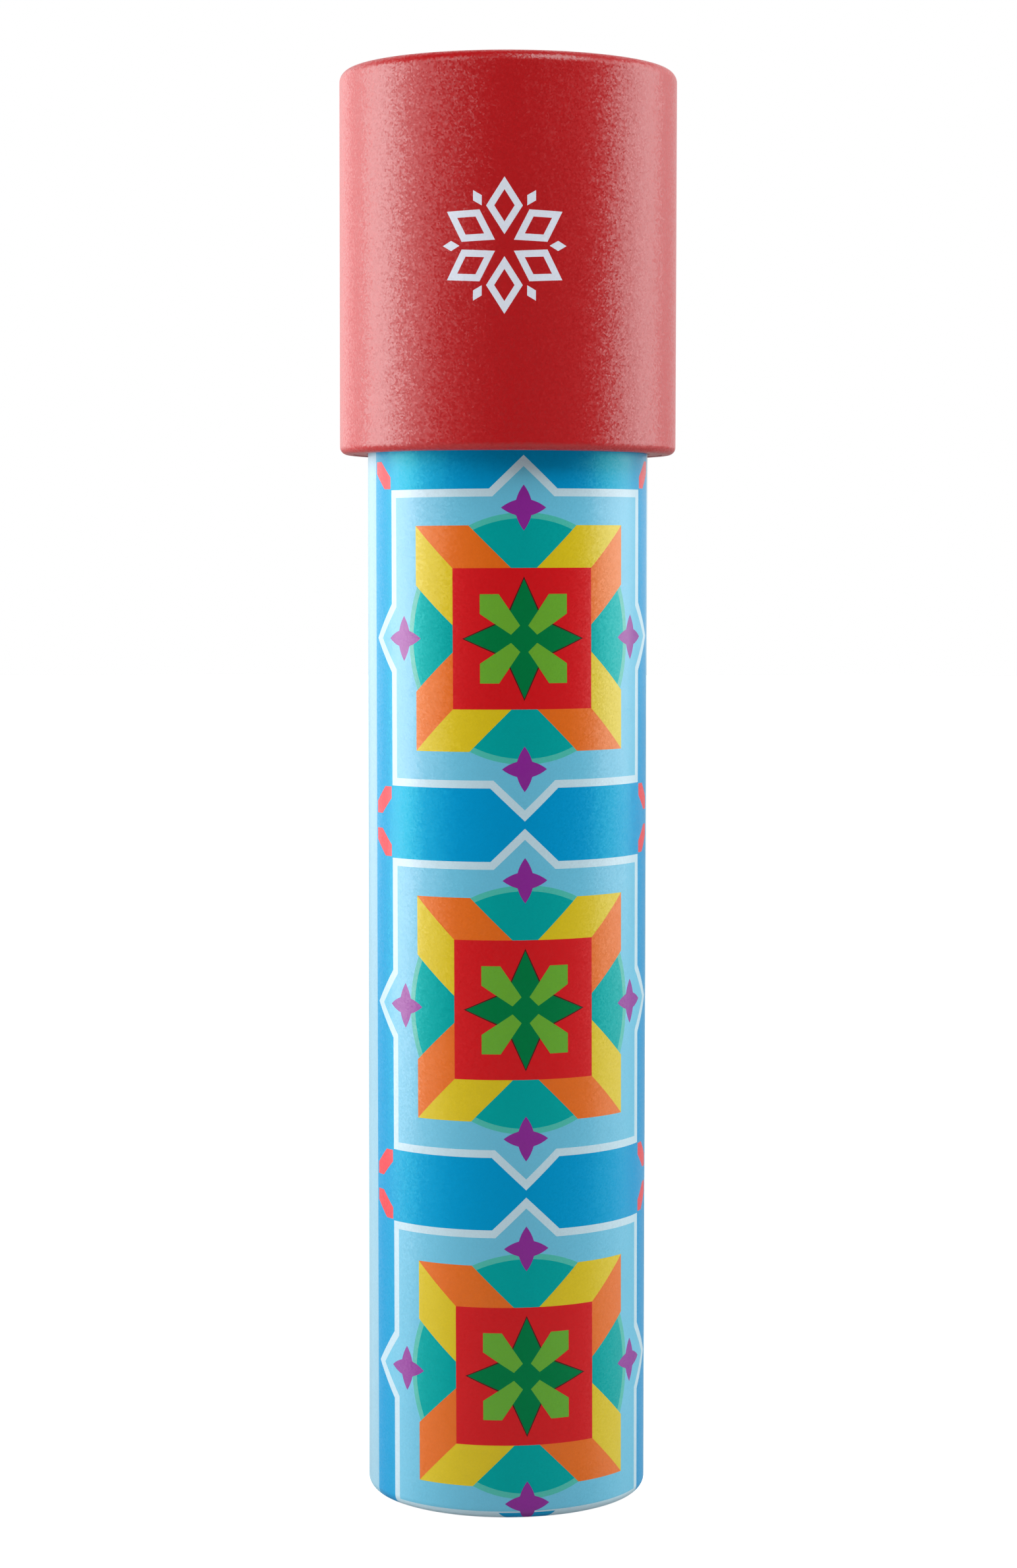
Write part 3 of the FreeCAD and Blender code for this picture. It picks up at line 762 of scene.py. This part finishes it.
def make_cap():
    """The red cap with its emblem, and the liner inside it."""
    red = satin("cap_red", CAP_RED, CAP_SHEEN, CAP_TILT)
    inks = {"cap": red, "mark": satin("cap_mark", MARK_WHITE)}
    path = rounded([
        (LINER_RADIUS, CAP_FOOT, 0),
        (CAP_RADIUS, CAP_FOOT, CAP_FOOT_ROUND),
        (CAP_RADIUS, CAP_TOP, CAP_TOP_ROUND),
        (CAP_OPENING, CAP_TOP, CAP_LIP_ROUND),
        (CAP_OPENING, CAP_TOP - CAP_LIP, 0),
        (LINER_RADIUS, CAP_TOP - CAP_LIP, 0),
    ])
    top = next(k for k, (_, z) in enumerate(path) if abs(z - CAP_TOP) < 1e-6)
    printed_shell(
        "cap_cover", path[:top + 1], path[top:] + path[:1], CAP_RADIUS,
        -TURN / 2, cap_layers(), "cap", inks,
        body="cap", stands_for=["cap_shell"], slot="cap_plastic",
    )
    outside = LINER_RADIUS - CLEARANCE
    foot = LINER_FOOT + LINER_INSET
    lathe(
        "liner_sleeve",
        rounded([
            (LINER_BORE, foot, 0.4), (outside, foot, 0.15),
            (outside, LINER_TOP, 0), (LINER_BORE, LINER_TOP, 0),
        ]),
        "cap", ["cap_liner"], "cap_plastic", red,
    )


def make_tube():
    """The tube under the film, with its turned-in foot."""
    wall = WALL_RADIUS - CLEARANCE
    step = SLEEVE_FOOT + FILM
    white = new_material("tube_white", srgb(222, 226, 230), roughness=0.38)
    add_grain(white, size=0.6, depth=0.006, spread=0.04)
    lathe(
        "tube_wall",
        rounded([
            (FOOT_OPENING, TUBE_FOOT, 0.5), (FOOT_RING - CLEARANCE, TUBE_FOOT, 0.1),
            (FOOT_RING - CLEARANCE, step + CLEARANCE, 0),
            (wall, step + CLEARANCE, FOOT_ROUND - FILM),
            (wall, TUBE_TOP, 0.2), (TUBE_INNER, TUBE_TOP, 0.2),
            (TUBE_INNER, FOOT_THICKNESS, 0.6), (FOOT_OPENING, FOOT_THICKNESS, 0.2),
        ]),
        "body", ["body_tube"], "tube_plastic", white,
    )


def make_eyepiece():
    """The dished eyepiece, with the seat for its window."""
    red = new_material("eyepiece_red", srgb(176, 18, 26), roughness=0.24)
    add_grain(red, size=0.5, depth=0.004, spread=0.03)
    neck, seat = FOOT_OPENING - PLUG_FIT, EYE_RADIUS + PLUG_FIT
    floor, shoulder = PLUG_FOOT + DISH_DEPTH, FOOT_THICKNESS
    lathe(
        "eyepiece_dish",
        rounded([
            (PEEPHOLE, floor, 0.3), (DISH_FLOOR, floor, 0.8),
            (DISH_RIM, PLUG_FOOT, 0.8), (neck, PLUG_FOOT, 0.3), (neck, shoulder, 0),
            (PLUG_RADIUS, shoulder, 0.2), (PLUG_RADIUS, PLUG_TOP, 0.2),
            (seat, PLUG_TOP, 0.3), (seat, EYE_FOOT, 0), (PEEPHOLE, EYE_FOOT, 0.15),
        ]),
        "body", ["eyepiece_plug"], "eyepiece_plastic", red,
    )


def make_windows():
    """The eyepiece's, the tube's and the object chamber's windows, and the chamber's wall."""
    glass = clear("window_clear", srgb(245, 250, 252), roughness=0.10, cover=0.08)
    frost = clear(
        "window_frosted", srgb(250, 251, 252), roughness=0.45, cover=0.25,
        grain_size=0.6, grain_depth=0.02,
    )
    pane("eye_glass", "eyepiece_window", "body", "clear_plastic", glass)
    pane("tube_glass", "tube_window", "body", "clear_plastic", glass)
    pane("chamber_glass", "chamber_window", "cap", "clear_plastic", glass)
    pane("frosted_window", "diffuser_window", "cap", "frosted_plastic", frost)
    radius, foot, top = span("chamber_wall")
    bore = radius - CHAMBER_WALL
    corners = [(bore, foot), (radius, foot), (radius, top), (bore, top)]
    path = rounded([(r, z, CHAMBER_EDGE) for r, z in corners])
    lathe("chamber_rim", path, "cap", ["chamber_wall"], "clear_plastic", glass)


def make_felt():
    """The felt washer between the tube and the cap, its surface matted and uneven."""
    radius, foot, top = span("felt_washer")
    bore = radius - FELT_WIDTH
    path = [(bore, foot)]
    for share in range(1, FELT_RINGS):
        path.append((bore + FELT_WIDTH * share / FELT_RINGS, foot))
    path += [(radius, foot), (radius, (foot + top) / 2), (radius, top)]
    path += [(r, top) for r, _ in path[FELT_RINGS - 1:0:-1]]
    path += [(bore, top), (bore, (foot + top) / 2)]
    grey = felt("felt_grey", srgb(104, 106, 112))
    washer = lathe(
        "felt_ring", path, "body", ["felt_washer"], "felt", grey, segments=FELT_SEGMENTS
    )
    for vertex in washer.data.vertices:
        sink = 0.5 + 0.5 * noise.noise(vertex.co / (FELT_LUMP * MM))
        vertex.co -= vertex.normal * (FELT_DEPTH * MM * sink)


def make_charms():
    """The loose charms: the frame's solids with their edges rounded, in tinted clear plastic."""
    for node, (body, slot, rgb) in CHARMS.items():
        shape = bmesh.new()
        shape.from_mesh(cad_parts[node].data)
        bmesh.ops.remove_doubles(shape, verts=shape.verts, dist=CHARM_WELD * MM)
        bmesh.ops.dissolve_limit(
            shape, angle_limit=CHARM_FLAT, verts=shape.verts, edges=shape.edges
        )
        sharp = [e for e in shape.edges if e.calc_face_angle(0.0) > CHARM_SHARP]
        bmesh.ops.bevel(
            shape, geom=sharp, offset=CHARM_EDGE * MM, segments=3, profile=0.5,
            affect="EDGES", clamp_overlap=True,
        )
        vertices = [v.co / MM for v in shape.verts]
        faces = [[v.index for v in face.verts] for face in shape.faces]
        shape.free()
        jelly = clear(
            f"jelly_{node}", srgb(*rgb), roughness=0.08, cover=0.85,
            grain_size=0.8, grain_depth=0.006,
        )
        new_piece(f"{node}_jelly", vertices, faces, body, [node], slot, [jelly])


def coat(material, *nodes):
    """Gives CAD nodes that stay as they are a finished material."""
    for node in nodes:
        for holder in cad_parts[node].material_slots:
            holder.material = material


def finish_inside():
    """Finished materials for the inner parts that keep their CAD shape."""
    coat(silvered("mirror_silver"), "mirror_strip_1", "mirror_strip_2", "mirror_strip_3")
    coat(board("card_black", srgb(44, 44, 48)), "mirror_card_wrap")
    coat(tape("tape_buff", srgb(214, 196, 148)), "prism_tape_bands")
    coat(
        moulded("inner_white", srgb(232, 232, 228)),
        "window_clip_ring", "lower_prism_holder", "upper_prism_holder", "tube_collar",
        "chamber_retaining_ring",
    )


# ---------------------------------------------------------------- stage, light and camera

ROOM_DARK = 0.03         # radiance of the room overhead and behind the camera
ROOM_WHITE = 1.0         # radiance of its white side, beyond the object
ROOM_FALL = 0.8          # how fast it darkens upwards, against 1 towards the camera
ROOM_START, ROOM_END = -0.65, 0.2   # where it is fully dark and fully white
FLOOR_RADIUS = 4.0       # in metres
FLOOR_HOLE = FOOT_RING + 0.8        # in millimetres; hidden under the foot's rounded edge
FLOOR_GLOW = 0.88        # the floor's own light, which only the camera sees
FLOOR_LEVEL = 0.6        # its base colour
FLOOR_MIRRORED = 0.28    # its base colour where something glossy mirrors it


def make_floor():
    """A pale floor with a hole under the foot, which lets light into the eyepiece."""
    mesh = bpy.data.meshes.new("floor")
    hole, rim = circle(FLOOR_HOLE * MM), circle(FLOOR_RADIUS)
    count = len(hole)
    sides = [(k, (k + 1) % count) for k in range(count)]
    mesh.from_pydata(
        [(x, y, 0.0) for x, y in hole + rim],
        [], [(k, k + count, j + count, j) for k, j in sides],
    )
    floor = bpy.data.objects.new("floor", mesh)
    bpy.context.scene.collection.objects.link(floor)
    paper = new_material("floor_paper", (1, 1, 1, 1), roughness=0.3, Specular_IOR_Level=1.0)
    nodes, link = paper.node_tree.nodes, paper.node_tree.links.new
    shader = nodes["Principled BSDF"]
    shader.inputs["Emission Color"].default_value = (1, 1, 1, 1)
    path = add_node(paper, "ShaderNodeLightPath")
    glow = add_node(paper, "ShaderNodeMapRange", To_Max=FLOOR_GLOW)
    link(path.outputs["Is Camera Ray"], glow.inputs["Value"])
    link(glow.outputs["Result"], shader.inputs["Emission Strength"])
    # Glossy rays see a darker floor, so that the object mirrors it only weakly.
    level = add_node(paper, "ShaderNodeMapRange", To_Min=FLOOR_LEVEL, To_Max=FLOOR_MIRRORED)
    link(path.outputs["Is Glossy Ray"], level.inputs["Value"])
    link(level.outputs["Result"], shader.inputs["Base Color"])
    # From below the floor is clear, which shows the eyepiece.
    side = add_node(paper, "ShaderNodeNewGeometry")
    mix = add_node(paper, "ShaderNodeMixShader")
    none = add_node(paper, "ShaderNodeBsdfTransparent")
    link(side.outputs["Backfacing"], mix.inputs["Fac"])
    link(shader.outputs["BSDF"], mix.inputs[1])
    link(none.outputs["BSDF"], mix.inputs[2])
    link(mix.outputs["Shader"], nodes["Material Output"].inputs["Surface"])
    floor.data.materials.append(paper)


def make_room():
    """A white room that darkens overhead and behind the camera."""
    world = bpy.data.worlds.new("room")
    bpy.context.scene.world = world
    world.use_nodes = True
    nodes, link = world.node_tree.nodes, world.node_tree.links.new
    nodes.clear()
    place = nodes.new("ShaderNodeTexCoord")
    split = nodes.new("ShaderNodeSeparateXYZ")
    total = nodes.new("ShaderNodeMath")
    total.operation = "MULTIPLY_ADD"
    total.inputs[1].default_value = -ROOM_FALL
    ramp = nodes.new("ShaderNodeMapRange")
    ramp.inputs["From Min"].default_value = ROOM_START
    ramp.inputs["From Max"].default_value = ROOM_END
    ramp.inputs["To Min"].default_value = ROOM_DARK
    ramp.inputs["To Max"].default_value = ROOM_WHITE
    # The camera itself always sees a white room.
    path = nodes.new("ShaderNodeLightPath")
    seen = nodes.new("ShaderNodeMath")
    seen.operation = "MAXIMUM"
    glow = nodes.new("ShaderNodeBackground")
    glow.inputs["Color"].default_value = (1, 1, 1, 1)
    out = nodes.new("ShaderNodeOutputWorld")
    link(place.outputs["Generated"], split.inputs["Vector"])
    link(split.outputs["Z"], total.inputs[0])
    link(split.outputs["Y"], total.inputs[2])
    link(total.outputs["Value"], ramp.inputs["Value"])
    link(ramp.outputs["Result"], seen.inputs[0])
    link(path.outputs["Is Camera Ray"], seen.inputs[1])
    link(seen.outputs["Value"], glow.inputs["Strength"])
    link(glow.outputs["Background"], out.inputs["Surface"])


AIM_HEIGHT = 0.12        # the lights face the axis at this height, in metres
NEUTRAL = (1.0, 1.0, 1.0)

# Each soft light's bearing, distance, height, width, own height, radiance and tint. The
# bearing is its turn to the right from the camera's side, in degrees; sizes are in metres.
LIGHTS = {
    "left_softbox": (-93, 0.40, 0.20, 0.25, 0.42, 4.9, (0.95, 1.0, 1.0)),
    "left_strip": (-62, 0.50, 0.22, 0.18, 0.42, 1.6, NEUTRAL),
    "left_panel": (-138, 0.8, 0.25, 0.50, 0.60, 1.0, NEUTRAL),
    "right_softbox": (98, 0.7, 0.35, 0.62, 0.70, 2.75, (0.88, 1.0, 1.0)),
    "high_left": (-40, 0.8, 0.65, 0.45, 0.45, 3.0, NEUTRAL),
    "high_right": (40, 0.65, 0.90, 0.60, 0.60, 5.4, NEUTRAL),
}


def softbox(name, bearing, distance, height, width, tall, radiance, tint):
    """A rectangular soft light, hidden from the camera."""
    data = bpy.data.lights.new(name, "AREA")
    data.color = tint
    data.shape = "RECTANGLE"
    data.size, data.size_y = width, tall
    data.energy = radiance * math.pi * width * tall
    light = bpy.data.objects.new(name, data)
    bpy.context.scene.collection.objects.link(light)
    angle = math.radians(bearing)
    light.location = (distance * math.sin(angle), -distance * math.cos(angle), height)
    aim = Vector((0, 0, AIM_HEIGHT)) - light.location
    light.rotation_euler = aim.to_track_quat("-Z", "Y").to_euler()
    light.visible_camera = False


CAMERA_PLACE = (0.00014, -0.5333, 0.14435)   # in metres
CAMERA_DIP = 3.643       # how far it looks down, in degrees
CAMERA_ROLL = -0.075     # in degrees
CAMERA_LENS = 78.83      # in millimetres, on a sensor of this width
CAMERA_SENSOR = 36.0


def make_camera():
    """The camera, above the object's middle and looking slightly down."""
    data = bpy.data.cameras.new("camera")
    data.lens = CAMERA_LENS
    data.sensor_width = CAMERA_SENSOR
    camera = bpy.data.objects.new("camera", data)
    bpy.context.scene.collection.objects.link(camera)
    camera.location = CAMERA_PLACE
    camera.rotation_euler = (math.radians(90 - CAMERA_DIP), math.radians(CAMERA_ROLL), 0)
    bpy.context.scene.camera = camera


make_sleeve()
make_tube()
make_eyepiece()
make_cap()
make_windows()
make_felt()
make_charms()
finish_inside()
make_floor()
make_room()
for light, settings in LIGHTS.items():
    softbox(light, *settings)
make_camera()
bpy.context.scene.view_settings.view_transform = "Standard"
